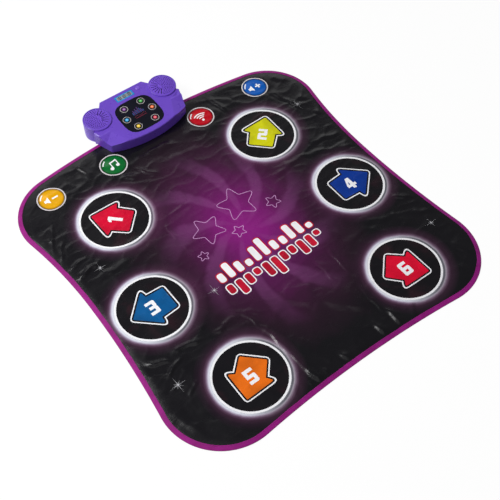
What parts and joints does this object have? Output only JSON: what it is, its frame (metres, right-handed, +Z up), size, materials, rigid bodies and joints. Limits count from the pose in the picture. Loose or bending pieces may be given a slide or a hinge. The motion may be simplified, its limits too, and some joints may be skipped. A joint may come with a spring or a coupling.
{
  "type": "electronic dance mat",
  "caption": "Flat padded dance mat with numbered arrow pads, round function pads and a moulded two-speaker controller box on its back edge.",
  "frame": {"origin": "on the floor under the middle of the mat, level with the centres of the two side pads", "axes": "+Y towards the controller box, which the dancer faces; +X to the dancer's right; +Z up"},
  "size_m": [0.91, 1.0303, 0.0531],
  "materials": {
    "printed_sheet": "glossy black printed vinyl, softly wrinkled",
    "pad_print": "glossy black printed vinyl with a coloured arrow and a plain number",
    "pad_print_yellow": "glossy printed vinyl",
    "pad_print_green": "glossy printed vinyl",
    "pad_print_red": "glossy printed vinyl",
    "pad_print_blue": "glossy printed vinyl",
    "binding_ribbon": "magenta woven ribbon with a satin sheen",
    "base_cloth": "matt black non-slip cloth",
    "contact_film": "translucent film with printed contacts",
    "foam": "white soft foam",
    "shell_purple": "satin moulded plastic",
    "grille_purple": "satin moulded plastic",
    "panel_black": "high-gloss black panel",
    "display_window": "clear window over a lit cyan display",
    "display_module": "plain module housing",
    "lens_purple": "tinted clear lens",
    "lens_green": "tinted clear lens",
    "lens_blue": "tinted clear lens",
    "lens_orange": "tinted clear lens",
    "lens_yellow": "tinted clear lens",
    "lens_red": "tinted clear lens",
    "circuit_board": "green solder mask",
    "black_plastic": "plain moulded plastic",
    "speaker_basket": "dark pressed steel",
    "speaker_cone": "matt black paper",
    "cell_jacket": "plain dark jacket",
    "steel": "bright steel",
    "rubber": "matt black rubber"
  },
  "bodies": {
    "mat_and_case": {"base_sheet": "base_cloth", "lower_contact_film": "contact_film", "foam_spacer": "foam", "top_sheet": "printed_sheet", "edge_binding": "binding_ribbon", "upper_shell": "shell_purple", "lower_shell": "shell_purple", "rear_foot_left": "rubber", "rear_foot_right": "rubber", "aa_cell_1": "cell_jacket", "aa_cell_2": "cell_jacket", "aa_cell_3": "cell_jacket", "battery_contact_left": "steel", "battery_contact_right": "steel", "control_panel": "panel_black", "light_lens_purple": "lens_purple", "light_lens_green": "lens_green", "light_lens_blue": "lens_blue", "light_lens_orange": "lens_orange", "light_lens_yellow": "lens_yellow", "light_lens_red": "lens_red", "display_lens": "display_window", "display_module": "display_module", "main_board": "circuit_board", "tail_clamp_bar": "black_plastic", "case_screw_left": "steel", "case_screw_right": "steel", "mat_screw_left": "steel", "mat_screw_right": "steel", "board_screw_1": "steel", "board_screw_2": "steel", "board_screw_3": "steel", "board_screw_4": "steel", "speaker_grille_left": "grille_purple", "speaker_grille_right": "grille_purple", "speaker_basket_left": "speaker_basket", "speaker_basket_right": "speaker_basket"},
    "pad_1": {"arrow_pad_1": "pad_print"},
    "pad_2": {"arrow_pad_2": "pad_print"},
    "pad_3": {"arrow_pad_3": "pad_print"},
    "pad_4": {"arrow_pad_4": "pad_print"},
    "pad_5": {"arrow_pad_5": "pad_print"},
    "pad_6": {"arrow_pad_6": "pad_print"},
    "volume_down": {"volume_down_pad": "pad_print_yellow"},
    "mode": {"mode_pad": "pad_print_green"},
    "wireless_link": {"wireless_link_pad": "pad_print_red"},
    "volume_up": {"volume_up_pad": "pad_print_blue"},
    "button": {"power_button": "shell_purple"},
    "cone_left": {"speaker_cone_left": "speaker_cone"},
    "cone_right": {"speaker_cone_right": "speaker_cone"},
    "door": {"battery_door": "shell_purple"}
  },
  "joints": [
    {"name": "pad_1_press", "type": "slide", "parent": "mat_and_case", "child": "pad_1", "axis": [0, 0, -1], "range_m": [0, 0.002], "stiffness_N_per_m": 4000, "springref_m": -0.0006},
    {"name": "pad_2_press", "type": "slide", "parent": "mat_and_case", "child": "pad_2", "axis": [0, 0, -1], "range_m": [0, 0.002], "stiffness_N_per_m": 4000, "springref_m": -0.0006},
    {"name": "pad_3_press", "type": "slide", "parent": "mat_and_case", "child": "pad_3", "axis": [0, 0, -1], "range_m": [0, 0.002], "stiffness_N_per_m": 4000, "springref_m": -0.0006},
    {"name": "pad_4_press", "type": "slide", "parent": "mat_and_case", "child": "pad_4", "axis": [0, 0, -1], "range_m": [0, 0.002], "stiffness_N_per_m": 4000, "springref_m": -0.0006},
    {"name": "pad_5_press", "type": "slide", "parent": "mat_and_case", "child": "pad_5", "axis": [0, 0, -1], "range_m": [0, 0.002], "stiffness_N_per_m": 4000, "springref_m": -0.0006},
    {"name": "pad_6_press", "type": "slide", "parent": "mat_and_case", "child": "pad_6", "axis": [0, 0, -1], "range_m": [0, 0.002], "stiffness_N_per_m": 4000, "springref_m": -0.0006},
    {"name": "volume_down_press", "type": "slide", "parent": "mat_and_case", "child": "volume_down", "axis": [0, 0, -1], "range_m": [0, 0.002], "stiffness_N_per_m": 2500, "springref_m": -0.0006},
    {"name": "mode_press", "type": "slide", "parent": "mat_and_case", "child": "mode", "axis": [0, 0, -1], "range_m": [0, 0.002], "stiffness_N_per_m": 2500, "springref_m": -0.0006},
    {"name": "wireless_link_press", "type": "slide", "parent": "mat_and_case", "child": "wireless_link", "axis": [0, 0, -1], "range_m": [0, 0.002], "stiffness_N_per_m": 2500, "springref_m": -0.0006},
    {"name": "volume_up_press", "type": "slide", "parent": "mat_and_case", "child": "volume_up", "axis": [0, 0, -1], "range_m": [0, 0.002], "stiffness_N_per_m": 2500, "springref_m": -0.0006},
    {"name": "button_press", "type": "slide", "parent": "mat_and_case", "child": "button", "axis": [0, 0.0872, -0.9962], "range_m": [0, 0.001], "stiffness_N_per_m": 500, "springref_m": -0.0006},
    {"name": "cone_left_travel", "type": "slide", "parent": "mat_and_case", "child": "cone_left", "axis": [0, -0.0872, 0.9962], "range_m": [-0.0006, 0.0006], "stiffness_N_per_m": 1500},
    {"name": "cone_right_travel", "type": "slide", "parent": "mat_and_case", "child": "cone_right", "axis": [0, -0.0872, 0.9962], "range_m": [-0.0006, 0.0006], "stiffness_N_per_m": 1500},
    {"name": "door_hinge", "type": "hinge", "parent": "mat_and_case", "child": "door", "pos_m": [0, 0.5391, 0.0036], "axis": [-1, 0, 0], "range_deg": [0, 35]}
  ]
}
